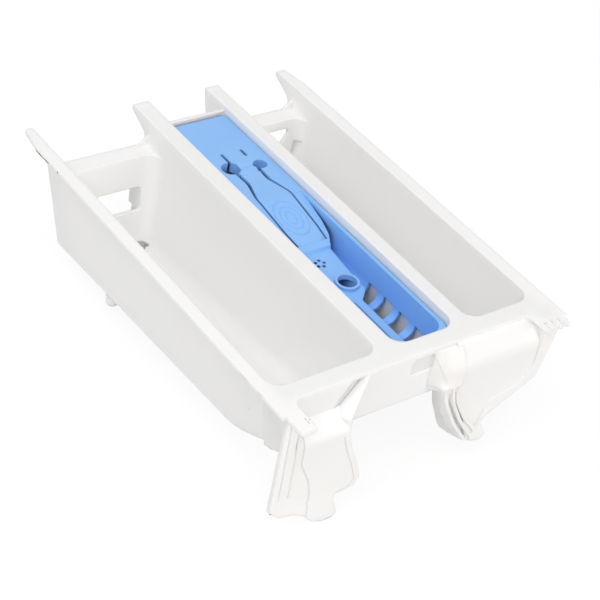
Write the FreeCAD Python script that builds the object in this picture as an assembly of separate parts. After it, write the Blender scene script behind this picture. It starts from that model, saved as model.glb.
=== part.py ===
import FreeCAD, Part
import math
import os

# Detergent dispenser drawer for a front-loading washing machine, without its handle front.
# Drawing frame, in millimetres: X runs right from the left edge of the rim, Y runs rearwards
# from the front edge of the rim, and Z runs up from the top of the rim.

# Widths across the rim, from left to right
LEFT_RIM = 7.6
LEFT_TROUGH = 67.6
LEFT_DIVIDER = 11.0
MIDDLE_TROUGH = 41.1
RIGHT_DIVIDER = 9.1
RIGHT_TROUGH = 44.6
RIGHT_RIM = 9.0

# Lengths rearwards from the front edge of the rim
FRONT_RIM = 11.0
RAIL_REAR_Y = 239.2
RAIL_LENGTH = 12.2
HORN_REACH = 19.5

# Wall sections
WALL = 2.2
RIM_THICK = 2.4

# Tubs: depth at the rear end, draft as run per unit of depth, fall of the floor and corner radii
TUB_DEPTH = 78.8
LEFT_LEAN = 0.185
DIVIDER_LEAN = 0.10
REAR_LEAN = 0.165
FLOOR_FALL = 0.08
FLOOR_BEND_Y = 46.0
FLOOR_RISE_DEG = 30.0
FLOOR_ROUND = 45.0
TUB_CORNER = 9.0
LEFT_CORNER = 7.0

# Rear rails and openings in the rear walls
RAIL_DROP = 14.5
RAIL_GUSSET = 7.5
MIDDLE_WALL_DROP = 3.5
WINDOW_FLANGE = 8.0
WINDOW_ROUND = 2.5
LEFT_WINDOW_MARGIN = 11.6
LEFT_WINDOW_WIDTH = 30.5
LEFT_WINDOW_TOP = 33.5
LEFT_WINDOW_HEIGHT = 16.0
DRAIN_WIDTH = 8.0
DRAIN_HEIGHT = 5.0
RIGHT_WINDOW_TOP = 20.0
RIGHT_WINDOW_HEIGHT = 30.0
RIGHT_WINDOW_WIDTH = 32.0
RIGHT_WINDOW_SLANT = 8.0
RIGHT_SLOT_WIDTH = 4.2
RIGHT_SLOT_TOP = 29.0
RIGHT_SLOT_HEIGHT = 13.0
RIGHT_SLOT_SLANT = 3.5

# Horns at the rear ends of the rim and of the dividers
HORN_TIP_THICK = 2.6
HORN_ROUND = 3.0
HORN_TAPER = 2.8

# Feet under the tubs
FOOT_RADIUS = 4.0
FOOT_REACH = 6.0
REAR_FOOT_Y = 182.0
FRONT_FOOT_Y = 20.0
LEFT_FOOT_X = 24.0
RIGHT_FOOT_X = 160.0

# Front apron, wings and clip tabs that carry the handle front
APRON_DROP = 31.5
WING_REACH = 9.0
WING_THICK = 2.2
LEFT_TAB_WIDTH = 10.0
LEFT_TAB_REACH = 22.0
RIGHT_TAB_WIDTH = 16.5
RIGHT_TAB_REACH = 15.0
NOTCH_DEPTH = 6.5
TAB_FILLET = 5.5
SHOULDER_DROP = 17.0
SHOULDER_FALL = 10.0
SHOULDER_ROUND = 8.0
RIB_TOP_X = 61.0
RIB_LEFT = 5.0
RIB_RIGHT = 10.0
VALLEY_DEPTH = 2.0
POCKET_DROP = 3.5
POCKET_HEIGHT = 11.0
POCKET_X = 90.0
POCKET_WIDTH = 15.0
POCKET_DEPTH = 1.2
LEFT_WING_X = 4.3
LEFT_WING_DROP = 88.0
LEFT_WING_EDGE_X = 46.5
LIP_WIDTH = 3.6
LIP_PROUD = 0.4
WING_FLARE = 2.5
RIGHT_WING_DROP = 76.2
FIN_THICK = 1.6
FIN_BASE_Y = -5.5
FIN_CREST_Y = -8.6
FIN_CREST_DROP = 25.0
BULGE_X = 105.5
BULGE_RUN = 8.0
PANEL_PROUD = 0.8
CORNER_RUN = 15.0

# Seat of the softener insert and the siphon standpipe
SEAT_DROP = 7.0
SEAT_WIDTH = 0.8
PIPE_Y = 212.0
PIPE_RADIUS = 5.0
PIPE_BORE = 3.3
PIPE_TOP_DROP = 26.0

# Softener insert
INSERT_SKIN = 1.8
INSERT_GAP = 0.4
INSERT_REAR_GAP = 2.0
TRAY_DEPTH = 28.0
TRAY_FRONT_GAP = 1.4
TRAY_ROUND = 7.0
TRAY_REAR_Y = 150.0
CAP_RADIUS = 9.0
CAP_LIFT = 4.0
SLOT_PITCH = 14.0
SLOT_LENGTH = 9.0
SLOT_COUNT = 4
FIRST_SLOT_Y = 28.0
SLOT_REACH = 6.5
SLOT_RISE = 7.5

# Ridge along the middle of the insert
DIP_Y = 150.0
DIP_ROUND = 50.0
FOLD_Y = 107.0
FOLD_DROP = 6.6
FOLD_STEP = 2.0
PLATFORM_FALL = 1.6
PLATFORM_END_Y = 70.0
SPINE_WIDTH = 5.0
SPINE_DROP = 18.5
HOLE_Y = 78.0
HOLE_RADIUS = 5.6
HOLE_RIM = 1.6
HOLE_RIM_HEIGHT = 1.2
PETAL_RADIUS = 1.1
PETAL_RING = 2.7
PETAL_COUNT = 5
PETAL_Y = 98.0
PETAL_OFFSET = 4.2

# Release tongue in the insert: half widths at its stations, and the slots beside it
TONGUE_ROOT_Y = 113.0
TONGUE_END_Y = 177.0
TONGUE_ROOT_HALF = 9.4
TONGUE_BELLY_HALF = 10.6
TONGUE_WAIST_HALF = 5.9
TONGUE_SLOT = 1.3
NECK_SLOT = 2.3
SADDLE_GAP = 0.4
HINGE_PLAY = 0.05

# Neck behind the tongue: two round holes with skirts, two slits and a shallow saddle
LEFT_NECK_HOLE = (-8.1, 185.2, 5.9)
RIGHT_NECK_HOLE = (11.0, 182.8, 4.3)
NECK_SKIRT = 5.0
NECK_WALL = 1.4
NECK_SLIT_WIDTH = 2.0
NECK_SLIT_END_Y = 200.0
LEFT_SLIT_X = -5.5
RIGHT_SLIT_X = 8.2
RIGHT_SLIT_Y = 193.0
SADDLE_Y = 184.5
SADDLE_ROUND = 7.0
SADDLE_DEPTH = 0.7

V = FreeCAD.Vector

# Stations across the rim
X_LEFT_IN = LEFT_RIM
X_LEFT_OUT = X_LEFT_IN + LEFT_TROUGH
X_MID_IN = X_LEFT_OUT + LEFT_DIVIDER
X_MID_OUT = X_MID_IN + MIDDLE_TROUGH
X_RIGHT_IN = X_MID_OUT + RIGHT_DIVIDER
X_RIGHT_OUT = X_RIGHT_IN + RIGHT_TROUGH
RIM_WIDTH = X_RIGHT_OUT + RIGHT_RIM
X_MIDDLE = (X_MID_IN + X_MID_OUT) / 2
REAR_WALL_Y = RAIL_REAR_Y - RAIL_LENGTH
HORN_TIP_Y = RAIL_REAR_Y + HORN_REACH
MIDDLE_END_Y = RAIL_REAR_Y - WALL
FLOOR_RISE = math.radians(FLOOR_RISE_DEG)
PANEL_Y = -WING_REACH + PANEL_PROUD
BELOW = -TUB_DEPTH - 10.0
ABOVE = 20.0

# Stations of the insert
PLATE_TOP = INSERT_SKIN - SEAT_DROP
FLANGE_HALF = MIDDLE_TROUGH / 2 - INSERT_GAP
TRAY_HALF = FLANGE_HALF - SEAT_WIDTH - INSERT_SKIN
DIP_SLOPE = FOLD_DROP / (DIP_Y - FOLD_Y)
HINGE_Z = PLATE_TOP - (DIP_Y - TONGUE_ROOT_Y) * DIP_SLOPE - INSERT_SKIN / 2
HINGE_RADIUS = INSERT_SKIN / 2 * math.cos(math.atan(DIP_SLOPE))


def spot(plane, along, u, v):
    """Point (u, v) of a drawing plane that lies `along` its normal."""
    if plane == "xy":
        return V(u, v, along)
    if plane == "xz":
        return V(u, along, v)
    return V(along, u, v)


def rounded_wire(plane, along, corners):
    """Closed wire through corners (u, v) or (u, v, radius), with a tangent arc at each radius."""
    starts = []
    ends = []
    middles = []
    count = len(corners)
    for k in range(count):
        here = V(corners[k][0], corners[k][1], 0)
        radius = corners[k][2] if len(corners[k]) > 2 else 0.0
        back = V(corners[k - 1][0], corners[k - 1][1], 0) - here
        on = V(corners[(k + 1) % count][0], corners[(k + 1) % count][1], 0) - here
        back.normalize()
        on.normalize()
        half = back.getAngle(on) / 2
        if radius == 0.0:
            starts.append(here)
            ends.append(here)
            middles.append(None)
            continue
        run = radius / math.tan(half)
        bisector = back + on
        bisector.normalize()
        starts.append(here + back * run)
        ends.append(here + on * run)
        middles.append(here + bisector * (radius / math.sin(half) - radius))
    edges = []
    for k in range(count):
        if middles[k] is not None:
            places = [spot(plane, along, p.x, p.y) for p in (starts[k], middles[k], ends[k])]
            edges.append(Part.Arc(*places).toShape())
        leave = ends[k]
        reach = starts[(k + 1) % count]
        if (reach - leave).Length > 1e-6:
            places = [spot(plane, along, p.x, p.y) for p in (leave, reach)]
            edges.append(Part.LineSegment(*places).toShape())
    return Part.Wire(edges)


def prism(plane, near, far, corners):
    """Solid over a cornered outline, between two planes."""
    face = Part.Face(rounded_wire(plane, near, corners))
    return face.extrude(spot(plane, far, 0, 0) - spot(plane, near, 0, 0))


def box(x, y, z):
    """Box from three (low, high) pairs."""
    return Part.makeBox(x[1] - x[0], y[1] - y[0], z[1] - z[0], V(x[0], y[0], z[0]))


def fuse(first, *others):
    """One solid from touching solids, with their shared faces merged."""
    return first.multiFuse(list(others)).removeSplitter()


def close(value, target, slack=0.02):
    """True where two lengths agree."""
    return abs(value - target) < slack


def floor_at(y, grow=0.0):
    """Height of the tub floors at a station, or of their underside when grown by a wall."""
    bend = WALL - TUB_DEPTH + FLOOR_FALL * (RAIL_REAR_Y - FLOOR_BEND_Y)
    falling = bend - FLOOR_FALL * (y - FLOOR_BEND_Y) - grow
    rising = bend + math.tan(FLOOR_RISE) * (FLOOR_BEND_Y - y) - grow / math.cos(FLOOR_RISE)
    return max(falling, rising)


class Tub:
    """One trough of the drawer: its drafted sides, its falling floor and its rear wall."""

    def __init__(self, x_in, x_out, lean_in, lean_out, front, rear, rear_lean, corner_in):
        self.x_in = x_in
        self.x_out = x_out
        self.lean_in = lean_in
        self.lean_out = lean_out
        self.front = front
        self.rear = rear
        self.rear_lean = rear_lean
        self.corner_in = corner_in

    def left(self, z, grow=0.0):
        """Place of the left side at a height."""
        return self.x_in - grow - self.lean_in * z

    def right(self, z, grow=0.0):
        """Place of the right side at a height."""
        return self.x_out + grow + self.lean_out * z

    def back(self, z, grow=0.0):
        """Place of the rear wall at a height."""
        return self.rear + grow + self.rear_lean * (z + RAIL_DROP)

    def heel(self, grow=0.0):
        """Station where the rear wall meets the floor."""
        level = WALL - TUB_DEPTH + FLOOR_FALL * RAIL_REAR_Y - grow
        return self.back(level, grow) / (1 + self.rear_lean * FLOOR_FALL)

    def reaching(self, rear):
        """The same tub with an upright rear end at another station."""
        return Tub(self.x_in, self.x_out, self.lean_in, self.lean_out, self.front, rear, 0.0, self.corner_in)

    def trapezium(self, near, far, low, high, grow=0.0):
        """Drafted cross-section between two heights, run from one station to another."""
        return prism("xz", near, far, [
            (self.left(high, grow), high),
            (self.left(low, grow), low),
            (self.right(low, grow), low),
            (self.right(high, grow), high),
        ])

    def block(self, top, grow=0.0):
        """Room of the tub, or its outer skin when grown by a wall."""
        start = self.front - grow
        heel = self.heel(grow)
        slack = 1 / math.cos(FLOOR_RISE) - 1
        bend = FLOOR_BEND_Y - grow * slack / (math.tan(FLOOR_RISE) - FLOOR_FALL)
        across = self.trapezium(start - 1, self.back(top, grow) + 1, BELOW, top, grow)
        along = prism("yz", self.left(top, grow) - 1, self.right(top, grow) + 1, [
            (start, top),
            (start, floor_at(start, grow)),
            (bend, floor_at(bend, grow), FLOOR_ROUND + grow),
            (heel, floor_at(heel, grow)),
            (self.back(top, grow), top),
        ])
        shape = across.common(along)
        if self.corner_in != TUB_CORNER:
            low_left = []
            for edge in shape.Edges:
                ends = [vertex.Point for vertex in edge.Vertexes]
                in_front = all(close(p.y, start) for p in ends)
                behind = all(close(p.y, self.back(p.z, grow)) for p in ends)
                level = all(close(p.z, top) for p in ends)
                to_left = all(close(p.x, self.left(p.z, grow)) for p in ends)
                if to_left and not in_front and not behind and not level:
                    low_left.append(edge)
            shape = shape.makeFillet(self.corner_in + grow, low_left)
        others = []
        for edge in shape.Edges:
            ends = [vertex.Point for vertex in edge.Vertexes]
            in_front = all(close(p.y, start) for p in ends)
            behind = all(close(p.y, self.back(p.z, grow)) for p in ends)
            level = all(close(p.z, top) for p in ends)
            to_left = all(close(p.x, self.left(p.z, grow)) for p in ends)
            to_right = all(close(p.x, self.right(p.z, grow)) for p in ends)
            if level or (self.rear_lean == 0 and behind):
                continue
            if in_front or behind or to_right or (to_left and self.corner_in == TUB_CORNER):
                others.append(edge)
        return shape.makeFillet(TUB_CORNER + grow, others)

    def skin(self):
        """Outer skin, carried on to the rear end of the rails."""
        return self.reaching(RAIL_REAR_Y - WALL).block(0.0, WALL)

    def rooms(self):
        """Room in front of the rear wall, the open pocket behind it and the gap above the rail."""
        pocket = self.reaching(HORN_TIP_Y).block(ABOVE)
        under_rail = -RAIL_DROP - WALL
        behind = prism("yz", self.left(0) - 1, self.right(0) + 1, [
            (self.back(under_rail, WALL), under_rail),
            (self.back(BELOW, WALL), BELOW),
            (HORN_TIP_Y, BELOW),
            (HORN_TIP_Y, under_rail),
        ])
        over = self.trapezium(REAR_WALL_Y - 10, HORN_TIP_Y, -RAIL_DROP, ABOVE)
        return [self.block(ABOVE), pocket.common(behind), over]

    def cheek(self, x_low, x_high, z_low, z_high):
        """Upright flange beside a window, standing back from the rear wall into the pocket."""
        flange = box((x_low, x_high), (REAR_WALL_Y - 15, REAR_WALL_Y + WINDOW_FLANGE), (z_low, z_high))
        return flange.cut(self.block(ABOVE))


LEFT_TUB = Tub(X_LEFT_IN, X_LEFT_OUT, LEFT_LEAN, DIVIDER_LEAN,
               FRONT_RIM, REAR_WALL_Y, REAR_LEAN, LEFT_CORNER)
RIGHT_TUB = Tub(X_RIGHT_IN, X_RIGHT_OUT, 0.0, 0.0,
                FRONT_RIM, REAR_WALL_Y, REAR_LEAN, TUB_CORNER)
MIDDLE_TUB = Tub(X_MID_IN + SEAT_WIDTH, X_MID_OUT - SEAT_WIDTH, 0.0, 0.0,
                 FRONT_RIM + SEAT_WIDTH, MIDDLE_END_Y, 0.0, TUB_CORNER)


def window(x_low, x_high, z_low, z_high):
    """Outline of a rounded window in a rear wall."""
    return [
        (x_low, z_low, WINDOW_ROUND),
        (x_high, z_low, WINDOW_ROUND),
        (x_high, z_high, WINDOW_ROUND),
        (x_low, z_high, WINDOW_ROUND),
    ]


def horn(x_low, x_high, knee_y, knee_drop):
    """Rear end of a divider, thinning towards its tip from a knee in its underside."""
    return prism("yz", x_low, x_high, [
        (RAIL_REAR_Y - 12, 0),
        (HORN_TIP_Y, 0),
        (HORN_TIP_Y, -HORN_TIP_THICK, HORN_TIP_THICK / 2),
        (knee_y, -knee_drop, 2),
        (RAIL_REAR_Y + 1, -RAIL_DROP - 4),
        (RAIL_REAR_Y - 12, -RAIL_DROP - 4),
    ])


def divider_horn(x_low, x_high, knee_y, knee_drop):
    """Horn of a divider, hollow underneath between the two tub walls."""
    hollow = box((x_low + WALL, x_high - WALL), (0, HORN_TIP_Y - 6), (-TUB_DEPTH, -RIM_THICK))
    return horn(x_low, x_high, knee_y, knee_drop).cut(hollow)


def rail_gusset(x, side):
    """Small web in the corner between the rear end of a rail and the wall beside it."""
    return prism("xz", RAIL_REAR_Y - WALL, RAIL_REAR_Y, [
        (x - side, -RAIL_DROP + RAIL_GUSSET),
        (x - side, -RAIL_DROP - WALL / 2),
        (x + side * RAIL_GUSSET, -RAIL_DROP - WALL / 2),
    ])


def rim():
    """Top rim: a front strip with two clip tabs, and four strips that run back to the horns."""
    tab_x = WALL
    notch = RIGHT_TAB_WIDTH / 7
    right_tab_x = RIM_WIDTH - 3 - RIGHT_TAB_WIDTH
    front = [
        (0, FRONT_RIM + TUB_CORNER),
        (0, -WING_REACH, 1.5),
        (tab_x, -WING_REACH),
        (tab_x, -LEFT_TAB_REACH, 1.0),
        (tab_x + LEFT_TAB_WIDTH, -LEFT_TAB_REACH, 1.0),
        (tab_x + LEFT_TAB_WIDTH, 0, TAB_FILLET),
        (right_tab_x, 0, TAB_FILLET),
        (right_tab_x, -RIGHT_TAB_REACH),
    ]
    for k in range(3):
        near_x = right_tab_x + notch * (2 * k + 1)
        front.append((near_x, -RIGHT_TAB_REACH))
        front.append((near_x, -RIGHT_TAB_REACH + NOTCH_DEPTH))
        front.append((near_x + notch, -RIGHT_TAB_REACH + NOTCH_DEPTH))
        front.append((near_x + notch, -RIGHT_TAB_REACH))
    front += [
        (right_tab_x + RIGHT_TAB_WIDTH, -RIGHT_TAB_REACH),
        (right_tab_x + RIGHT_TAB_WIDTH, -WING_REACH),
        (RIM_WIDTH, -WING_REACH, 1.5),
        (RIM_WIDTH, FRONT_RIM + TUB_CORNER),
    ]
    strips = [prism("xy", -RIM_THICK, 0, front)]
    spans = [
        (0, X_LEFT_IN, HORN_TAPER, 0),
        (X_LEFT_OUT, X_MID_IN, 0, 0),
        (X_MID_OUT, X_RIGHT_IN, 0, 0),
        (X_RIGHT_OUT, RIM_WIDTH, 0, HORN_TAPER),
    ]
    for low, high, taper_in, taper_out in spans:
        strips.append(prism("xy", -RIM_THICK, 0, [
            (low, 0),
            (high, 0),
            (high, RAIL_REAR_Y),
            (high - taper_out, HORN_TIP_Y, HORN_ROUND / 2),
            (low + taper_in, HORN_TIP_Y, HORN_ROUND / 2),
            (low, RAIL_REAR_Y),
        ]))
    return strips


def apron():
    """Front apron under the rim, with its finger pockets."""
    sheet = prism("xz", 0, WALL, [
        (LEFT_TUB.left(0, WALL / 2), 0),
        (LEFT_TUB.left(-APRON_DROP, WALL / 2), -APRON_DROP),
        (RIGHT_TUB.right(-APRON_DROP, WALL / 2), -APRON_DROP),
        (RIGHT_TUB.right(0, WALL / 2), 0),
    ])
    finger = prism("xz", -1, POCKET_DEPTH, [
        (POCKET_X, -POCKET_DROP, 3),
        (POCKET_X, -POCKET_DROP - POCKET_HEIGHT, 3),
        (POCKET_X + POCKET_WIDTH, -POCKET_DROP - POCKET_HEIGHT, 3),
        (POCKET_X + POCKET_WIDTH, -POCKET_DROP, 3),
    ])
    crest_x = RIB_TOP_X - RIB_LEFT - 5
    low_x = LEFT_WING_EDGE_X - RIB_LEFT
    valley = [
        (crest_x, -RIM_THICK),
        (low_x, -SHOULDER_DROP),
        (low_x + 6, -SHOULDER_DROP - 4),
        (crest_x + 8, -RIM_THICK),
    ]
    backing = prism("xz", 0, VALLEY_DEPTH + WALL, [
        (crest_x - 6, -RIM_THICK / 2),
        (low_x - 6, -SHOULDER_DROP - 4),
        (low_x + 10, -SHOULDER_DROP - 4),
        (crest_x + 12, -RIM_THICK / 2),
    ])
    return fuse(sheet, backing).cut(finger).cut(prism("xz", -1, VALLEY_DEPTH, valley))


def left_sheet(front):
    """Upright sheet of the left wing that flares forward at its foot."""
    low = -LEFT_WING_DROP - 1
    return prism("yz", -1, 70, [
        (front, 0),
        (front, -70, 30),
        (front - WING_FLARE, low),
        (front - WING_FLARE + WING_THICK, low),
        (front + WING_THICK, -70, 30),
        (front + WING_THICK, 0),
    ])


def shoulder(x_low, x_high, front):
    """Sloping shoulder that carries the apron forward to the sheet of the left wing."""
    foot = -SHOULDER_DROP - SHOULDER_FALL
    return prism("yz", x_low, x_high, [
        (WALL, -SHOULDER_DROP),
        (0, -SHOULDER_DROP),
        (front, foot, SHOULDER_ROUND),
        (front, foot - 6),
        (front + WING_THICK, foot - 6),
        (front + WING_THICK, foot - WALL / 2, SHOULDER_ROUND - WING_THICK),
        (0, -SHOULDER_DROP - 1.5 * WALL),
        (WALL, -SHOULDER_DROP - 1.5 * WALL),
    ])


def rib_wire(z, x, y, left, right, inset):
    """Cross-section of the rib at a height, with its ridge at (x, y) and its feet on the apron."""
    return rounded_wire("xy", z, [
        (x - left + inset, 0.5),
        (x, y + 1.5 * inset, 2.0 - inset / 2),
        (x + right - inset, 0.5),
    ])


def left_rib():
    """Hollow rib that runs down from the rim to the right edge of the left wing."""
    foot = -SHOULDER_DROP - 4
    top = (-RIM_THICK / 2, RIB_TOP_X, -0.3, RIB_LEFT, 4.0)
    middle = (foot, LEFT_WING_EDGE_X, -WING_REACH, RIB_LEFT, RIB_RIGHT)
    bottom = (-APRON_DROP, LEFT_WING_EDGE_X + 2, -WING_REACH, RIB_LEFT, RIB_RIGHT - 2)
    upper = Part.makeLoft([rib_wire(*top, 0.0), rib_wire(*middle, 0.0)], True, True)
    lower = Part.makeLoft([rib_wire(*middle, 0.0), rib_wire(*bottom, 0.0)], True, True)
    inner_low = (-APRON_DROP - 1,) + bottom[1:]
    hollow = Part.makeLoft([rib_wire(*middle, WALL), rib_wire(*inner_low, WALL)], True, True)
    return fuse(upper, lower).cut(hollow)


def left_wing():
    """Left wing below the clip tab: a stepped panel with a lip, its shoulder, its rib and its flared foot."""
    top = -SHOULDER_DROP - SHOULDER_FALL - 4
    outline = prism("xz", -20, 0, [
        (LEFT_WING_X, -RIM_THICK / 2),
        (LEFT_WING_X, -69.5, 1.5),
        (11.5, -75.2, 8),
        (19, -76, 6),
        (26.5, -79.5, 10),
        (33, -85.6, 6),
        (39.5, -LEFT_WING_DROP, 4),
        (47.6, -LEFT_WING_DROP, 3),
        (48.6, -84.5, 2),
        (44.5, -73.0, 3),
        (58.5, -70.8, 3),
        (61.5, -66.5, 3),
        (57.5, -55, 40),
        (LEFT_WING_EDGE_X + 3.5, -38, 30),
        (LEFT_WING_EDGE_X + 1.5, top),
        (13, top),
        (13, -RIM_THICK / 2),
    ])
    step = prism("xz", -20, 0, [
        (19, 0),
        (19, -40, 12),
        (25.5, -53, 15),
        (29, -64, 12),
        (29, -100),
        (70, -100),
        (70, 0),
    ])
    behind = step.copy()
    behind.translate(V(WALL, 0, 0))
    inside = outline.copy()
    inside.translate(V(-LIP_WIDTH, 0, 0))
    strip = outline.common(left_sheet(PANEL_Y)).cut(behind)
    panel = outline.common(left_sheet(-WING_REACH)).common(step)
    lip = outline.common(left_sheet(-WING_REACH - LIP_PROUD)).common(step).cut(inside)
    lip = lip.common(box((0, 70), (-20, 0), (-72, top)))
    shoulders = [
        shoulder(13 - WALL, 19 + WALL, PANEL_Y),
        shoulder(19, LEFT_WING_EDGE_X + 1, -WING_REACH),
    ]
    ridges = []
    for x in (7.4, 13.4):
        ridges.append(prism("xz", PANEL_Y - 0.4, PANEL_Y + 0.5, [
            (x, -9),
            (x + 1.2, -62),
            (x + 2.2, -62),
            (x + 1.0, -9),
        ]))
    return [strip, panel, lip, left_rib()] + shoulders + ridges


def fin_wire(y, places):
    """Outline of a fin at one station: a bent band along a line of places."""
    side = [(x, z, 25) for x, z in places[1:-1]]
    other = [(x + FIN_THICK * 1.25, z + FIN_THICK * 0.4, 25) for x, z in reversed(places[1:-1])]
    first = places[0]
    last = places[-1]
    return rounded_wire("xz", y, [
        first,
        *side,
        last,
        (last[0] + FIN_THICK * 0.9, last[1] + FIN_THICK),
        *other,
        (first[0] + FIN_THICK, first[1]),
    ])


def fin(places, rear_y, rear_places):
    """Curved fin that runs back from the front of the wing, turning a little on its way."""
    return Part.makeLoft([fin_wire(-WING_REACH, places), fin_wire(rear_y, rear_places)], True, True)


def fin_bulge():
    """Soft swelling of the apron from which the fins run down."""
    profile = prism("yz", BULGE_X, 121, [
        (WALL, -6),
        (0, -6),
        (FIN_CREST_Y, -FIN_CREST_DROP, 15),
        (FIN_CREST_Y, -FIN_CREST_DROP - 4),
        (WALL, -FIN_CREST_DROP - 4),
    ])
    plan = prism("xy", -APRON_DROP - 1, 0, [
        (BULGE_X, WALL),
        (BULGE_X, 0),
        (BULGE_X + BULGE_RUN, FIN_CREST_Y, 6),
        (121, FIN_CREST_Y - 1),
        (121, WALL),
    ])
    return profile.common(plan)


def right_wing():
    """Right wing: a dished panel with a raised border, its clip foot and the fins beside it."""
    low = -RIGHT_WING_DROP
    outer_x = RIM_WIDTH - 2
    base = prism("xz", -20, WALL, [
        (110, -FIN_CREST_DROP),
        (113.5, -42, 40),
        (123.5, -60, 40),
        (137, -73, 10),
        (145, -75),
        (145.1, -61.5),
        (133, -53, 25),
        (123.5, -37, 20),
        (121, -FIN_CREST_DROP),
    ])
    base = base.common(prism("yz", 100, 170, [
        (FIN_CREST_Y, -FIN_CREST_DROP),
        (FIN_BASE_Y, -FIN_CREST_DROP - 19, 20),
        (FIN_BASE_Y, low - 1),
        (FIN_BASE_Y + WALL, low - 1),
        (FIN_BASE_Y + WALL, -FIN_CREST_DROP - 19, 18),
        (FIN_CREST_Y + WALL, -FIN_CREST_DROP),
    ]))
    second = [(115.4, -26), (118.6, -38.5), (127.5, -54.5), (140, -71)]
    third = [(119.0, -25), (120.6, -37), (130.2, -53), (143, -69)]
    fins = [
        fin([(109.5, -26), (112.6, -35.4), (122.5, -54), (135, -71.5)], WALL,
            [(110.5, -26), (114.5, -43), (124.5, -65.5), (135, -75.4)]),
        fin(second, FIN_BASE_Y + WALL / 2, second),
        fin(third, FIN_BASE_Y + WALL / 2, third),
    ]
    tip = [
        (139, low + 1.8, 4),
        (149.5, low, 2),
        (152, low + 3.2, 2),
        (145.1, -61.5, 2),
        (147.5, -58.2, 3),
        (outer_x - 8, -40.5, 4),
        (outer_x - 4, -22),
        (outer_x, -RIM_THICK / 2),
    ]
    outline = [(118.8, -1), (119, -24), (121.2, -37, 20), (130.8, -53, 25)] + tip
    sheet = prism("yz", 100, RIM_WIDTH + 1, [
        (0, 0),
        (PANEL_Y, -15, 14),
        (PANEL_Y, low - 1),
        (PANEL_Y + WING_THICK, low - 1),
        (PANEL_Y + WING_THICK, -15, 12),
        (WALL, 0),
    ])
    panel = prism("xz", -WING_REACH, WALL + 1, outline).common(sheet)
    border = prism("xz", -WING_REACH, PANEL_Y + WING_THICK, tip + [
        (outer_x - 12, -RIM_THICK / 2),
        (outer_x - 12.5, -33, 8),
        (outer_x - 21, -42, 10),
        (147, -46, 10),
    ])
    outer = prism("xz", -WING_REACH, WALL, [
        (outer_x, -RIM_THICK / 2),
        (outer_x - WALL, -RIM_THICK / 2),
        (outer_x - 4 - WALL, -22),
        (outer_x - 7.5 - WALL, -38),
        (outer_x - 7.5, -38),
        (outer_x - 4, -22),
    ])
    corner_x = outer_x - 12
    corner = prism("xy", -30, -RIM_THICK / 2, [
        (corner_x - CORNER_RUN, WALL / 2),
        (corner_x - 4, -1, 12),
        (corner_x + 1, -WING_REACH),
        (corner_x + 1 + WALL, -WING_REACH),
        (corner_x - 4 + WALL, -1 + WALL, 12),
        (corner_x - CORNER_RUN, WALL * 1.5),
    ])
    return [fin_bulge(), base, panel, border, outer, corner] + fins


def side_skirts():
    """Side walls of the tubs, carried forward from the rising floor to the wings."""
    near = PANEL_Y + WING_THICK / 2
    far = FRONT_RIM + 5
    reach = prism("yz", -1, RIM_WIDTH + 1, [
        (near, -RIM_THICK / 2),
        (near, floor_at(near, WALL)),
        (far, floor_at(far, WALL) + 1),
        (far, -RIM_THICK / 2),
    ])
    skirts = []
    for place in (LEFT_TUB.left, RIGHT_TUB.right):
        strip = prism("xz", near - 1, far + 1, [
            (place(0, WALL), 0),
            (place(-60, WALL), -60),
            (place(-60), -60),
            (place(0), 0),
        ])
        skirts.append(strip.common(reach))
    return skirts


def foot(x, y):
    """Foot under a tub, with its end drawn in by two chamfers."""
    top = floor_at(y, WALL / 2)
    bottom = floor_at(y, WALL) - FOOT_REACH
    knees = [
        (FOOT_RADIUS, bottom + 2.6),
        (FOOT_RADIUS * 0.8, bottom + 0.9),
        (FOOT_RADIUS * 0.45, bottom),
    ]
    shape = Part.makeCylinder(FOOT_RADIUS, top - knees[0][1], V(x, y, knees[0][1]))
    for (wide, high), (narrow, low) in zip(knees, knees[1:]):
        shape = shape.fuse(Part.makeCone(narrow, wide, high - low, V(x, y, low)))
    return shape


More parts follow.
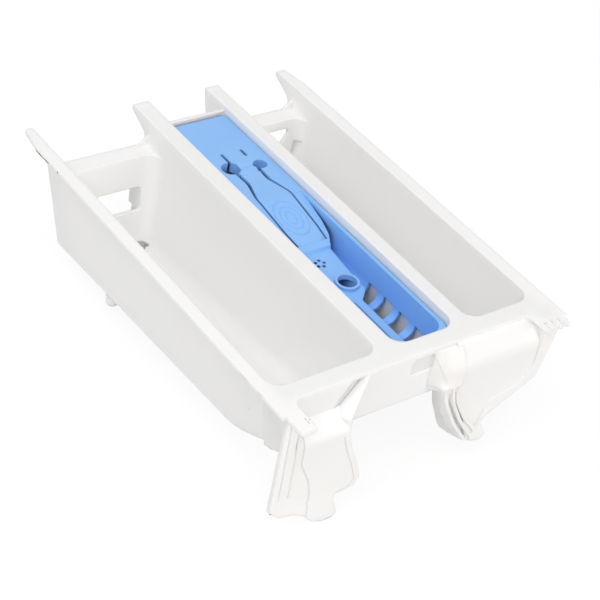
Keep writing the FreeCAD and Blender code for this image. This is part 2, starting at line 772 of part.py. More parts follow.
def drawer_body():
    """White drawer: three tubs hung from one rim, as one moulding."""
    seat = prism("xy", -SEAT_DROP, ABOVE, [
        (X_MID_IN, FRONT_RIM, TUB_CORNER),
        (X_MID_OUT, FRONT_RIM, TUB_CORNER),
        (X_MID_OUT, MIDDLE_END_Y),
        (X_MID_IN, MIDDLE_END_Y),
    ])
    seat_skin = prism("xy", -SEAT_DROP - WALL, 0, [
        (X_MID_IN - WALL, FRONT_RIM - WALL, TUB_CORNER + WALL),
        (X_MID_OUT + WALL, FRONT_RIM - WALL, TUB_CORNER + WALL),
        (X_MID_OUT + WALL, MIDDLE_END_Y + WALL),
        (X_MID_IN - WALL, MIDDLE_END_Y + WALL),
    ])
    middle_back = box((X_MID_IN, X_MID_OUT), (MIDDLE_END_Y - 1, HORN_TIP_Y), (-MIDDLE_WALL_DROP, ABOVE))
    pieces = [LEFT_TUB.skin(), RIGHT_TUB.skin(), MIDDLE_TUB.block(0.0, WALL), seat_skin]
    pieces += rim()
    pieces.append(divider_horn(X_LEFT_OUT, X_MID_IN, RAIL_REAR_Y + 5, 9.5))
    pieces.append(divider_horn(X_MID_OUT, X_RIGHT_IN, HORN_TIP_Y - 3, RAIL_DROP))
    pieces.append(horn(X_RIGHT_OUT, X_RIGHT_OUT + WALL, RAIL_REAR_Y + 5, 9.5))
    pieces.append(apron())
    pieces += left_wing()
    pieces += right_wing()
    pieces += side_skirts()
    for x, y in ((LEFT_FOOT_X, REAR_FOOT_Y), (RIGHT_FOOT_X, REAR_FOOT_Y), (LEFT_FOOT_X, FRONT_FOOT_Y)):
        pieces.append(foot(x, y))
    body = fuse(*pieces)
    rooms = LEFT_TUB.rooms() + RIGHT_TUB.rooms() + [MIDDLE_TUB.block(ABOVE), seat, middle_back]
    body = body.cut(rooms)
    edge_x = X_LEFT_OUT - LEFT_WINDOW_MARGIN
    edge_low = -LEFT_WINDOW_TOP - LEFT_WINDOW_HEIGHT
    left_window = window(edge_x - LEFT_WINDOW_WIDTH, edge_x, edge_low, -LEFT_WINDOW_TOP)
    right_edge = RIGHT_TUB.right(-RIGHT_WINDOW_TOP) - 6.5
    right_low = -RIGHT_WINDOW_TOP - RIGHT_WINDOW_HEIGHT
    right_window = [
        (right_edge - RIGHT_WINDOW_WIDTH, -RIGHT_WINDOW_TOP, WINDOW_ROUND),
        (right_edge - RIGHT_WINDOW_WIDTH, right_low, WINDOW_ROUND),
        (right_edge - RIGHT_WINDOW_SLANT, right_low, WINDOW_ROUND),
        (right_edge - RIGHT_WINDOW_SLANT, -RIGHT_WINDOW_TOP - 10, WINDOW_ROUND),
        (right_edge, -RIGHT_WINDOW_TOP, WINDOW_ROUND),
    ]
    slot_x = RIGHT_TUB.right(-RIGHT_SLOT_TOP) - 1.0
    slot_low = -RIGHT_SLOT_TOP - RIGHT_SLOT_HEIGHT
    right_slot = [
        (slot_x - RIGHT_SLOT_WIDTH, -RIGHT_SLOT_TOP),
        (slot_x - RIGHT_SLOT_WIDTH - RIGHT_SLOT_SLANT, slot_low),
        (slot_x - RIGHT_SLOT_SLANT, slot_low),
        (slot_x, -RIGHT_SLOT_TOP),
    ]
    outlines = [left_window, right_window, right_slot]
    for tub in (LEFT_TUB, RIGHT_TUB):
        drain_low = floor_at(tub.heel())
        drain_x = tub.right(drain_low)
        outlines.append(window(drain_x - DRAIN_WIDTH, drain_x, drain_low, drain_low + DRAIN_HEIGHT))
    pipe_low = floor_at(PIPE_Y, WALL / 2)
    pipe = Part.makeCylinder(PIPE_RADIUS, -PIPE_TOP_DROP - pipe_low, V(X_MIDDLE, PIPE_Y, pipe_low))
    added = [pipe]
    for x in (edge_x - LEFT_WINDOW_WIDTH - WALL, edge_x):
        added.append(LEFT_TUB.cheek(x, x + WALL, edge_low - WALL, -LEFT_WINDOW_TOP + WALL))
    for x, side in ((X_LEFT_OUT, -1), (X_RIGHT_OUT, -1)):
        added.append(rail_gusset(x, side))
    body = fuse(body, *added)
    cuts = [Part.makeCylinder(PIPE_BORE, TUB_DEPTH, V(X_MIDDLE, PIPE_Y, BELOW))]
    for outline in outlines:
        cuts.append(prism("xz", REAR_WALL_Y - 15, RAIL_REAR_Y + 1, outline))
    return body.cut(cuts)


def tray(grow):
    """Room of the insert's tray, or its outer skin: a rounded cross-section met with a rounded plan."""
    half = TRAY_HALF + grow
    floor = -TRAY_DEPTH - grow
    front = FRONT_RIM + SEAT_WIDTH + TRAY_FRONT_GAP + INSERT_SKIN - grow
    top = PLATE_TOP if grow else 0.0
    across = prism("xz", front - 1, TRAY_REAR_Y + grow, [
        (X_MIDDLE - half, top),
        (X_MIDDLE - half, floor, TRAY_ROUND + grow),
        (X_MIDDLE + half, floor, TRAY_ROUND + grow),
        (X_MIDDLE + half, top),
    ])
    plan = prism("xy", floor, top, [
        (X_MIDDLE - half, front, TUB_CORNER),
        (X_MIDDLE + half, front, TUB_CORNER),
        (X_MIDDLE + half, TRAY_REAR_Y + grow),
        (X_MIDDLE - half, TRAY_REAR_Y + grow),
    ])
    return across.common(plan)


def both_sides(halves, grow=0.0):
    """Closed plan outline from (half width, y, radius), drawn on both sides of the middle."""
    right = [(X_MIDDLE + half + grow, y, radius) for half, y, radius in halves]
    left = [(X_MIDDLE - half - grow, y, radius) for half, y, radius in reversed(halves)]
    return right + left


def ridge(shrink):
    """Ridge along the middle of the tray, or the hollow under it when shrunk by a skin."""
    spine = SPINE_WIDTH / 2
    step = PLATE_TOP - FOLD_DROP - FOLD_STEP
    plan = [
        (TRAY_HALF + 3, TRAY_REAR_Y + 4, 0),
        (TRAY_HALF + 0.6, TRAY_REAR_Y - 2, 30),
        (16.0, 126, 30),
        (13.6, 115, 12),
        (9.2, FOLD_Y, 8),
        (7.8, HOLE_Y + 9, 10),
        (HOLE_RADIUS + HOLE_RIM + 0.4, PLATFORM_END_Y, 4),
    ]
    if shrink:
        plan[-1] = (plan[-1][0], PLATFORM_END_Y + shrink, 2)
    else:
        plan.append((spine, PLATFORM_END_Y - 4, 3))
        plan.append((spine, FRONT_RIM, 0))
    top = [
        (TRAY_REAR_Y + 5, PLATE_TOP - shrink),
        (DIP_Y, PLATE_TOP - shrink, DIP_ROUND),
        (FOLD_Y + 0.5, PLATE_TOP - FOLD_DROP - shrink),
        (FOLD_Y - 0.5, step - shrink),
        (PLATFORM_END_Y + 1.5, step - PLATFORM_FALL - shrink),
        (PLATFORM_END_Y - 3, -SPINE_DROP - shrink),
        (FRONT_RIM - 1, -SPINE_DROP - shrink),
        (FRONT_RIM - 1, -TRAY_DEPTH - 2 * INSERT_SKIN),
        (TRAY_REAR_Y + 5, -TRAY_DEPTH - 2 * INSERT_SKIN),
    ]
    sides = prism("xy", -TRAY_DEPTH - 2 * INSERT_SKIN, 0, both_sides(plan, -shrink))
    return sides.common(prism("yz", X_MIDDLE - 30, X_MIDDLE + 30, top))


TONGUE_HALVES = [
    (TONGUE_ROOT_HALF, TONGUE_ROOT_Y, 0),
    (TONGUE_BELLY_HALF - 0.3, TONGUE_ROOT_Y + 11, 40),
    (TONGUE_BELLY_HALF + 0.2, DIP_Y + 3, 20),
    (TONGUE_WAIST_HALF, TONGUE_END_Y - 8.5, 12),
    (TONGUE_WAIST_HALF + 0.6, TONGUE_END_Y, 0),
]


def tongue_opening():
    """Outline of the opening around the tongue: its slots widen towards the neck."""
    slots = [TONGUE_SLOT, TONGUE_SLOT, TONGUE_SLOT, NECK_SLOT, NECK_SLOT]
    halves = [(half + slot, y, radius) for (half, y, radius), slot in zip(TONGUE_HALVES, slots)]
    halves[-1] = (halves[-1][0], TONGUE_END_Y + SADDLE_GAP, 0)
    return both_sides(halves)


def neck_skirts():
    """Short round walls under the two holes beside the neck."""
    skirts = []
    for x, y, radius in (LEFT_NECK_HOLE, RIGHT_NECK_HOLE):
        low = V(X_MIDDLE + x, y, PLATE_TOP - INSERT_SKIN - NECK_SKIRT)
        skirts.append(Part.makeCylinder(radius + NECK_WALL, NECK_SKIRT + INSERT_SKIN / 2, low))
    return skirts


def neck_cuts():
    """Holes, slits and saddle of the neck."""
    cuts = []
    low = PLATE_TOP - INSERT_SKIN - NECK_SKIRT - 1
    for x, y, radius in (LEFT_NECK_HOLE, RIGHT_NECK_HOLE):
        cuts.append(Part.makeCylinder(radius, NECK_SKIRT + 2 * INSERT_SKIN + 1, V(X_MIDDLE + x, y, low)))
        near = TONGUE_HALVES[-1][0]
        side = 1 if x > 0 else -1
        ends = sorted((X_MIDDLE + side * near, X_MIDDLE + side * (near + NECK_SLOT)))
        cuts.append(box(ends, (TONGUE_END_Y, y - radius / 2), (PLATE_TOP - INSERT_SKIN - 0.5, 0)))
    for x, y in ((LEFT_SLIT_X, LEFT_NECK_HOLE[1]), (RIGHT_SLIT_X, RIGHT_SLIT_Y)):
        left = X_MIDDLE + x - NECK_SLIT_WIDTH / 2
        turn = NECK_SLIT_WIDTH * 0.45
        cuts.append(prism("xy", low, 0, [
            (left, y, turn),
            (left + NECK_SLIT_WIDTH, y, turn),
            (left + NECK_SLIT_WIDTH, NECK_SLIT_END_Y, turn),
            (left, NECK_SLIT_END_Y, turn),
        ]))
    start = V(X_MIDDLE + LEFT_NECK_HOLE[0], SADDLE_Y, PLATE_TOP + SADDLE_ROUND - SADDLE_DEPTH)
    cuts.append(Part.makeCylinder(SADDLE_ROUND, RIGHT_NECK_HOLE[0] - LEFT_NECK_HOLE[0], start, V(1, 0, 0)))
    return cuts


def softener_insert():
    """Blue insert: a flange plate, a slotted tray with a hollow ridge, and the siphon cap under it."""
    plate = prism("xy", PLATE_TOP - INSERT_SKIN, PLATE_TOP, [
        (X_MIDDLE - FLANGE_HALF, FRONT_RIM + INSERT_GAP, TUB_CORNER),
        (X_MIDDLE + FLANGE_HALF, FRONT_RIM + INSERT_GAP, TUB_CORNER),
        (X_MIDDLE + FLANGE_HALF, MIDDLE_END_Y - INSERT_REAR_GAP),
        (X_MIDDLE - FLANGE_HALF, MIDDLE_END_Y - INSERT_REAR_GAP),
    ])
    cap_low = floor_at(PIPE_Y) + CAP_LIFT
    cap = Part.makeCylinder(CAP_RADIUS, PLATE_TOP - cap_low, V(X_MIDDLE, PIPE_Y, cap_low))
    bore_high = PLATE_TOP - INSERT_SKIN - cap_low
    bore = Part.makeCylinder(CAP_RADIUS - INSERT_SKIN, bore_high, V(X_MIDDLE, PIPE_Y, cap_low))
    shape = fuse(plate, tray(INSERT_SKIN))
    shape = shape.cut(tray(0.0).cut(ridge(0.0)))
    rim_z = PLATE_TOP - FOLD_DROP - FOLD_STEP - PLATFORM_FALL
    collar = Part.makeCylinder(HOLE_RADIUS + HOLE_RIM, HOLE_RIM_HEIGHT + 2, V(X_MIDDLE, HOLE_Y, rim_z - 1))
    shape = fuse(shape.cut(ridge(INSERT_SKIN)), cap, collar, *neck_skirts())
    cuts = [bore, Part.makeCylinder(HOLE_RADIUS, 12, V(X_MIDDLE, HOLE_Y, rim_z - 8))]
    cuts.append(prism("xy", -TRAY_DEPTH, 0, tongue_opening()))
    cuts += neck_cuts()
    root = TONGUE_HALVES[0][0] + TONGUE_SLOT
    groove_end = V(X_MIDDLE - root, TONGUE_ROOT_Y, HINGE_Z)
    cuts.append(Part.makeCylinder(HINGE_RADIUS + HINGE_PLAY, 2 * root, groove_end, V(1, 0, 0)))
    for side in (-1, 1):
        wall_x = X_MIDDLE + side * (TRAY_HALF + INSERT_SKIN + 1)
        floor_x = X_MIDDLE + side * (TRAY_HALF - SLOT_REACH)
        for k in range(SLOT_COUNT):
            y = FIRST_SLOT_Y + k * SLOT_PITCH
            cuts.append(box((min(wall_x, floor_x), max(wall_x, floor_x)), (y, y + SLOT_LENGTH),
                            (-TRAY_DEPTH - INSERT_SKIN - 1, -TRAY_DEPTH + SLOT_RISE)))
    for k in range(PETAL_COUNT):
        turn = 2 * math.pi * k / PETAL_COUNT
        x = X_MIDDLE - PETAL_OFFSET + PETAL_RING * math.cos(turn)
        y = PETAL_Y + PETAL_RING * math.sin(turn)
        cuts.append(Part.makeCylinder(PETAL_RADIUS, SPINE_DROP, V(x, y, -SPINE_DROP)))
    return shape.cut(cuts)


def release_tongue():
    """Springy tongue in the plate: a waisted leaf with a round nose."""
    root_top = HINGE_Z + INSERT_SKIN / 2
    upper = [
        (TONGUE_ROOT_Y, root_top),
        (DIP_Y, PLATE_TOP, DIP_ROUND),
        (TONGUE_END_Y, PLATE_TOP),
    ]
    lower = [
        (TONGUE_END_Y, PLATE_TOP - INSERT_SKIN),
        (DIP_Y, PLATE_TOP - INSERT_SKIN, DIP_ROUND),
        (TONGUE_ROOT_Y, root_top - INSERT_SKIN),
    ]
    leaf = prism("yz", X_MIDDLE - 20, X_MIDDLE + 20, upper + lower)
    leaf = leaf.common(prism("xy", -TRAY_DEPTH, 0, both_sides(TONGUE_HALVES)))
    half = TONGUE_HALVES[0][0]
    nose = Part.makeCylinder(HINGE_RADIUS, 2 * half, V(X_MIDDLE - half, TONGUE_ROOT_Y, HINGE_Z), V(1, 0, 0))
    return fuse(leaf, nose)


def centred(shape, body):
    """The shape in the shared frame: origin under the middle of the drawer, at its lowest point."""
    room = body.optimalBoundingBox(False)
    moved = shape.copy()
    moved.translate(V(-(room.XMin + room.XMax) / 2, -(room.YMin + room.YMax) / 2, -room.ZMin))
    return moved


os.makedirs("parts", exist_ok=True)
drawer = drawer_body()
nodes = {
    "drawer_body": drawer,
    "softener_insert": softener_insert(),
    "release_tongue": release_tongue(),
}
for name, shape in nodes.items():
    centred(shape, drawer).exportStep("parts/" + name + ".step")
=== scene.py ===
import math

import bmesh
import bpy
from mathutils import Matrix, Vector
from mathutils.bvhtree import BVHTree


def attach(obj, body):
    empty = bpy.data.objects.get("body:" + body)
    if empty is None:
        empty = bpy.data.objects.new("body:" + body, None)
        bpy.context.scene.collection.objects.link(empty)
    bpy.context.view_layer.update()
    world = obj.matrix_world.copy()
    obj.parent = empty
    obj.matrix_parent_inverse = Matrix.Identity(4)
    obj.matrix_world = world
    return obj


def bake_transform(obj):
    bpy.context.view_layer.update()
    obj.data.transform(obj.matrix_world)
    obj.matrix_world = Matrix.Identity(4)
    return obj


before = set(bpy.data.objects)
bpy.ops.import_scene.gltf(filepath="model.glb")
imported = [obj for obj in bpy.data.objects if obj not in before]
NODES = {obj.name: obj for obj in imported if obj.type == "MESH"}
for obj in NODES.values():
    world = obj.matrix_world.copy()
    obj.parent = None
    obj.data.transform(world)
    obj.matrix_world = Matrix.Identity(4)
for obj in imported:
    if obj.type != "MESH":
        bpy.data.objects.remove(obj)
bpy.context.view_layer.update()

# The part's drawing has its origin at the front left of the rim's top face, in millimetres.
DRAWING_ORIGIN = Vector((-0.095, -0.11835, 0.088))
MM_PER_M = 1000

DOWN = Vector((0, 0, -1))
REARWARDS = Vector((0, 1, 0))


def place(x, y, z):
    """A point of the part's drawing, in metres in the shared frame."""
    return DRAWING_ORIGIN + Vector((x, y, z)) / MM_PER_M


def share_across(k, count):
    """Place of a point in a row, from -1 at the first point to 1 at the last."""
    return 2 * k / (count - 1) - 1


# A spot is full up to the first share of its half sizes and gone at the second.
SPOT_CORE = 0.75
SPOT_END = 1.1
PLASTIC_IOR = 1.49


class Graph:
    """Short calls for building one material's nodes."""

    def __init__(self, name):
        self.material = bpy.data.materials.new(name)
        self.material.use_nodes = True
        self.tree = self.material.node_tree
        self.tree.nodes.clear()
        self.output = self.add("ShaderNodeOutputMaterial")
        self.coords = self.add("ShaderNodeTexCoord").outputs["Object"]

    def add(self, kind, **settings):
        """A new node with some of its settings."""
        node = self.tree.nodes.new(kind)
        for key, value in settings.items():
            setattr(node, key, value)
        return node

    def link(self, start, end):
        self.tree.links.new(start, end)

    def feed(self, socket, value):
        """Links a socket to an output, or sets its own value."""
        if isinstance(value, bpy.types.NodeSocket):
            self.link(value, socket)
        else:
            socket.default_value = value

    def noise(self, scale, detail, roughness=0.5):
        node = self.add("ShaderNodeTexNoise")
        self.link(self.coords, node.inputs["Vector"])
        node.inputs["Scale"].default_value = scale
        node.inputs["Detail"].default_value = detail
        node.inputs["Roughness"].default_value = roughness
        return node.outputs["Fac"]

    def spread(self, value, low, high, start=0.0, end=1.0):
        """A value taken from one range to another, and held at its ends."""
        node = self.add("ShaderNodeMapRange")
        self.feed(node.inputs["Value"], value)
        node.inputs["From Min"].default_value = low
        node.inputs["From Max"].default_value = high
        node.inputs["To Min"].default_value = start
        node.inputs["To Max"].default_value = end
        return node.outputs["Result"]

    def math(self, operation, first, second):
        node = self.add("ShaderNodeMath", operation=operation)
        self.feed(node.inputs[0], first)
        self.feed(node.inputs[1], second)
        return node.outputs[0]

    def mix(self, factor, first, second):
        node = self.add("ShaderNodeMix", data_type="RGBA")
        self.feed(node.inputs["Factor"], factor)
        self.feed(node.inputs["A"], first)
        self.feed(node.inputs["B"], second)
        return node.outputs["Result"]

    def bump(self, height, strength, distance, normal=None):
        node = self.add("ShaderNodeBump")
        self.link(height, node.inputs["Height"])
        node.inputs["Strength"].default_value = strength
        node.inputs["Distance"].default_value = distance
        if normal:
            self.link(normal, node.inputs["Normal"])
        return node.outputs["Normal"]

    def rounded_edges(self, radius):
        """Normal that rounds the sharp edges of the moulding."""
        node = self.add("ShaderNodeBevel", samples=6)
        node.inputs["Radius"].default_value = radius
        return node.outputs["Normal"]

    def crevice_shade(self, reach, closed, free):
        """Painted shade mask from ambient occlusion: 1 in narrow slots and small holes, where little
        of the surroundings is open.
        """
        node = self.add("ShaderNodeAmbientOcclusion", samples=8)
        node.inputs["Distance"].default_value = reach
        return self.spread(node.outputs["AO"], closed, free, 1.0, 0.0)

    def mark(self, centre, size, coords):
        """Mask of a spot: 1 inside an ellipsoid around a point of the drawing, 0 outside."""
        shift = self.add("ShaderNodeVectorMath", operation="SUBTRACT")
        self.link(coords, shift.inputs[0])
        shift.inputs[1].default_value = place(*centre)
        scale = self.add("ShaderNodeVectorMath", operation="DIVIDE")
        self.link(shift.outputs[0], scale.inputs[0])
        scale.inputs[1].default_value = Vector(size) / MM_PER_M
        length = self.add("ShaderNodeVectorMath", operation="LENGTH")
        self.link(scale.outputs[0], length.inputs[0])
        return self.spread(length.outputs["Value"], SPOT_CORE, SPOT_END, 1.0, 0.0)

    def marks(self, spots, coords):
        """Mask of several spots together."""
        total = 0.0
        for centre, size in spots:
            total = self.math("MAXIMUM", self.mark(centre, size, coords), total)
        return total

    def wobbled(self, scale, amount):
        """Coordinates pushed about by noise, so that spots get ragged outlines."""
        noise = self.add("ShaderNodeTexNoise")
        self.link(self.coords, noise.inputs["Vector"])
        noise.inputs["Scale"].default_value = scale
        centred = self.add("ShaderNodeVectorMath", operation="SUBTRACT")
        self.link(noise.outputs["Color"], centred.inputs[0])
        centred.inputs[1].default_value = (0.5, 0.5, 0.5)
        scaled = self.add("ShaderNodeVectorMath", operation="SCALE")
        self.link(centred.outputs[0], scaled.inputs[0])
        scaled.inputs["Scale"].default_value = amount
        total = self.add("ShaderNodeVectorMath", operation="ADD")
        self.link(self.coords, total.inputs[0])
        self.link(scaled.outputs[0], total.inputs[1])
        return total.outputs[0]

    def plastic(self, colour, roughness, normal):
        """The finished moulded plastic."""
        shader = self.add("ShaderNodeBsdfPrincipled")
        self.feed(shader.inputs["Base Color"], colour)
        self.feed(shader.inputs["Roughness"], roughness)
        self.feed(shader.inputs["Normal"], normal)
        shader.inputs["IOR"].default_value = PLASTIC_IOR
        self.link(shader.outputs["BSDF"], self.output.inputs["Surface"])
        return shader


# Dark brown spots on the white drawer: a nick on the horn, painted shade and dirt on the horn's side
# face, and painted shade on the bottom edge of the left wing's corner; centre and half sizes in the
# drawing
NICKS_AND_SHADE = [
    ((0.0, 236.5, -1.9), (0.5, 5.5, 0.55)),
    ((0.0, 228.5, -1.6), (0.4, 4.0, 0.4)),
    ((0.0, 215.0, -1.0), (0.5, 0.6, 0.6)),
    ((4.6, -7.4, -69.9), (1.8, 1.4, 0.6)),
]

# Softer grey marks: greyer lines along the rim's left edge, painted shade and dirt on the side of the
# horn's tip, a speck on the left wall and scratches on the left clip tab
RUBS_AND_SHADE = [
    ((0.0, 25.2, -0.9), (0.4, 4.2, 0.4)),
    ((0.0, 10.8, -0.7), (0.4, 3.2, 0.4)),
    ((0.0, 246.5, -2.2), (0.5, 7.0, 0.5)),
    ((10.9, 29.6, -30.0), (0.8, 0.5, 0.5)),
    ((9.8, -14.0, 0.0), (0.4, 1.2, 0.5)),
    ((10.0, -16.4, 0.0), (0.35, 1.3, 0.5)),
    ((11.5, -15.1, 0.0), (0.9, 0.35, 0.5)),
]

WHITE_TINTS = ((0.936, 0.931, 0.923), (0.952, 0.947, 0.939))
# A thin skin lets no light through, so it is toned down to look like the moulding beside it.
SKIN_SHADE = 0.92
EDGE_YELLOW = (0.62, 0.54, 0.38, 1)
# Grey of the rubs and scratches, and of the painted shade on the side of the horn's tip
RUB_AND_SHADE_GREY = (0.66, 0.63, 0.59, 1)
# Dark brown of the nicks, and of the painted shade on the horn's side and the wing's corner
NICK_AND_SHADE_BROWN = (0.10, 0.085, 0.055, 1)
BLUE_TINTS = ((0.25, 0.51, 0.945, 1), (0.275, 0.545, 0.965, 1))
# Dark navy of the painted shade in the insert's slots and holes
SLOT_SHADE_BLUE = (0.015, 0.05, 0.18, 1)


def white_plastic(name, whole):
    """Off-white moulded plastic with a fine grain.

    A whole moulding has nicks, rubs and some painted shade on its horn and wing corner, and lets some
    light through, and a thin skin on it is plain.
    """
    graph = Graph(name)
    tone = graph.spread(graph.noise(scale=14.0, detail=3.0), low=0.3, high=0.7)
    shade = 1.0 if whole else SKIN_SHADE
    low, high = [tuple(shade * part for part in tint) + (1,) for tint in WHITE_TINTS]
    colour = graph.mix(tone, low, high)
    rounded = None
    if whole:
        rounded = graph.rounded_edges(radius=0.0008)
        geometry = graph.add("ShaderNodeNewGeometry")
        likeness = graph.add("ShaderNodeVectorMath", operation="DOT_PRODUCT")
        graph.link(rounded, likeness.inputs[0])
        graph.link(geometry.outputs["Normal"], likeness.inputs[1])
        edge = graph.spread(likeness.outputs["Value"], low=0.8, high=0.995, start=1.0, end=0.0)
        patches = graph.noise(scale=60.0, detail=4.0, roughness=0.6)
        patchy = graph.spread(patches, low=0.5, high=0.75, start=0.0, end=0.22)
        colour = graph.mix(graph.math("MULTIPLY", edge, patchy), colour, EDGE_YELLOW)
        ragged = graph.wobbled(scale=900.0, amount=0.0005)
        # Greyer: rubs and scratches, and painted shade along the side of the horn's tip.
        colour = graph.mix(graph.marks(RUBS_AND_SHADE, ragged), colour, RUB_AND_SHADE_GREY)
        # Dark brown: nicks, and painted shade on the horn's side face and the left wing's bottom
        # corner.
        colour = graph.mix(graph.marks(NICKS_AND_SHADE, ragged), colour, NICK_AND_SHADE_BROWN)
    gloss = graph.noise(scale=220.0, detail=3.0)
    roughness = graph.spread(gloss, low=0.25, high=0.75, start=0.38, end=0.5)
    waves = graph.noise(scale=24.0, detail=1.0)
    normal = graph.bump(waves, strength=0.25, distance=0.0006, normal=rounded)
    grain = graph.noise(scale=2400.0, detail=2.0)
    normal = graph.bump(grain, strength=0.25, distance=0.00006, normal=normal)
    shader = graph.plastic(colour, roughness, normal)
    if whole:
        shader.inputs["Subsurface Weight"].default_value = 0.6
        shader.inputs["Subsurface Radius"].default_value = (1.0, 0.96, 0.9)
        shader.inputs["Subsurface Scale"].default_value = 0.004
    return graph.material


def blue_plastic(name, whole):
    """Light blue moulded plastic with a fine grain and faint cloudiness.

    A whole moulding has painted shade in its slots and holes, and a thin skin on it doesn't.
    """
    graph = Graph(name)
    tone = graph.spread(graph.noise(scale=30.0, detail=3.0), low=0.3, high=0.7)
    colour = graph.mix(tone, *BLUE_TINTS)
    rounded = None
    if whole:
        # Painted shade: dark navy where ambient occlusion finds slots, holes and tight corners.
        slots = graph.crevice_shade(reach=0.006, closed=0.15, free=0.55)
        colour = graph.mix(slots, colour, SLOT_SHADE_BLUE)
        rounded = graph.rounded_edges(radius=0.0005)
    gloss = graph.noise(scale=260.0, detail=3.0)
    roughness = graph.spread(gloss, low=0.25, high=0.75, start=0.32, end=0.45)
    waves = graph.noise(scale=40.0, detail=1.0)
    normal = graph.bump(waves, strength=0.2, distance=0.0004, normal=rounded)
    grain = graph.noise(scale=2600.0, detail=2.0)
    normal = graph.bump(grain, strength=0.2, distance=0.00005, normal=normal)
    graph.plastic(colour, roughness, normal)
    return graph.material


WHITE = white_plastic("white_plastic", whole=True)
WHITE_SKIN = white_plastic("white_skin", whole=False)
BLUE = blue_plastic("blue_plastic", whole=True)
BLUE_SKIN = blue_plastic("blue_skin", whole=False)


def dress(name, material):
    """Gives a node of the part its finish."""
    data = NODES[name].data
    data.materials.clear()
    data.materials.append(material)


dress("drawer_body", WHITE)
dress("softener_insert", BLUE)
dress("release_tongue", BLUE)


def surface_tree(name):
    """Search tree over a node's mesh."""
    return BVHTree.FromObject(NODES[name], bpy.context.evaluated_depsgraph_get())


def new_piece(name, data, material):
    """A new smooth piece made from a mesh."""
    for polygon in data.polygons:
        polygon.use_smooth = True
    data.materials.append(material)
    piece = bpy.data.objects.new(name, data)
    bpy.context.collection.objects.link(piece)
    return piece


# Height over the drawing's origin from which the tongue and the plate are felt for.
ABOVE_PLATE = 20

RING_CENTRE = (106.7, 133.7)
RING_TURNS = 96
RING_ACROSS = 7
RING_SINK = 0.02


def oval_ring(name, half_wide, half_long, width, height):
    """Low raised oval bead on the tongue, laid on its surface."""
    tree = surface_tree("release_tongue")
    points = []
    for k in range(RING_TURNS):
        turn = 2 * math.pi * k / RING_TURNS
        for j in range(RING_ACROSS):
            share = share_across(j, RING_ACROSS)
            x = RING_CENTRE[0] + (half_wide + share * width / 2) * math.cos(turn)
            y = RING_CENTRE[1] + (half_long + share * width / 2) * math.sin(turn)
            hit = tree.ray_cast(place(x, y, ABOVE_PLATE), DOWN)[0]
            lift = height * (1 - share * share) - RING_SINK
            points.append(hit + Vector((0, 0, lift / MM_PER_M)))
    faces = []
    for k in range(RING_TURNS):
        here = k * RING_ACROSS
        after = (k + 1) % RING_TURNS * RING_ACROSS
        for j in range(RING_ACROSS):
            beside = (j + 1) % RING_ACROSS
            faces.append((here + j, after + j, after + beside, here + beside))
    data = bpy.data.meshes.new(name)
    data.from_pydata(points, [], faces)
    data.update()
    piece = new_piece(name, data, BLUE_SKIN)
    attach(piece, "tongue")


oval_ring("tongue_ring_outer", half_wide=8.9, half_long=13.6, width=1.0, height=0.36)
oval_ring("tongue_ring_middle", half_wide=5.8, half_long=9.0, width=0.9, height=0.32)
oval_ring("tongue_ring_inner", half_wide=2.9, half_long=4.8, width=0.9, height=0.32)


def slab(name, upper, lower, material):
    """Closed thin mesh between two grids of points with the same rows."""
    stations = len(upper)
    across = len(upper[0])
    count = stations * across
    points = [point for grid in (upper, lower) for row in grid for point in row]
    faces = []
    for k in range(stations - 1):
        for j in range(across - 1):
            a = k * across + j
            faces.append((a, a + 1, a + across + 1, a + across))
            faces.append((count + a, count + a + across, count + a + across + 1, count + a + 1))
    rim = list(range(across))
    rim += [k * across + across - 1 for k in range(1, stations)]
    rim += [(stations - 1) * across + j for j in range(across - 2, -1, -1)]
    rim += [k * across for k in range(stations - 2, 0, -1)]
    for here, after in zip(rim, rim[1:] + rim[:1]):
        faces.append((here, count + here, count + after, after))
    data = bpy.data.meshes.new(name)
    data.from_pydata(points, [], faces)
    work = bmesh.new()
    work.from_mesh(data)
    bmesh.ops.recalc_face_normals(work, faces=work.faces)
    work.to_mesh(data)
    work.free()
    return new_piece(name, data, material)


TONGUE_X = 106.75
SKIN_POINTS = 9
# Half length of a skin along the tongue, and of the stretch over which it bends
SKIN_REACH = 1.2
# The surface is felt for at least this far from the joint, clear of the cut.
SKIN_CLEAR = 0.4
SKIN_UNDERSIDE = -0.06
SKIN_CROWN = 0.03
SKIN_SINK = 0.01


def skin(name, y_joint, half_wide, front_node, rear_node):
    """Thin bridge over a joint of the tongue, which the moulding has in one piece with the plate."""
    front_tree = surface_tree(front_node)
    rear_tree = surface_tree(rear_node)
    grids = []
    for low in (False, True):
        grid = []
        for k in range(SKIN_POINTS):
            share = share_across(k, SKIN_POINTS)
            y = y_joint + SKIN_REACH * share
            lift = SKIN_UNDERSIDE if low else SKIN_CROWN * (1 - share ** 4) - SKIN_SINK
            tree, side = (front_tree, -1) if share < 0 else (rear_tree, 1)
            aim = y_joint + side * max(abs(SKIN_REACH * share), SKIN_CLEAR)
            row = []
            for j in range(SKIN_POINTS):
                x = TONGUE_X + half_wide * share_across(j, SKIN_POINTS)
                top = tree.ray_cast(place(x, aim, ABOVE_PLATE), DOWN)[0]
                spot = place(x, y, 0)
                row.append(Vector((spot.x, spot.y, top.z + lift / MM_PER_M)))
            grid.append(row)
        grids.append(grid)
    piece = slab(name, grids[0], grids[1], BLUE_SKIN)
    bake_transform(piece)


skin("tongue_saddle", 177.2, 6.2, "release_tongue", "softener_insert")
skin("tongue_root", 113.0, 8.4, "softener_insert", "release_tongue")


FILLET_ROWS = 17
FILLET_COLUMNS = 13
FILLET_TOP = -2.4
FILLET_HIGH = 15.0
FILLET_THICK = 0.5
FILLET_DIP = 0.8
FILLET_FLATNESS = 0.8
FILLET_RISE = 0.25
FILLET_PROUD = 0.02
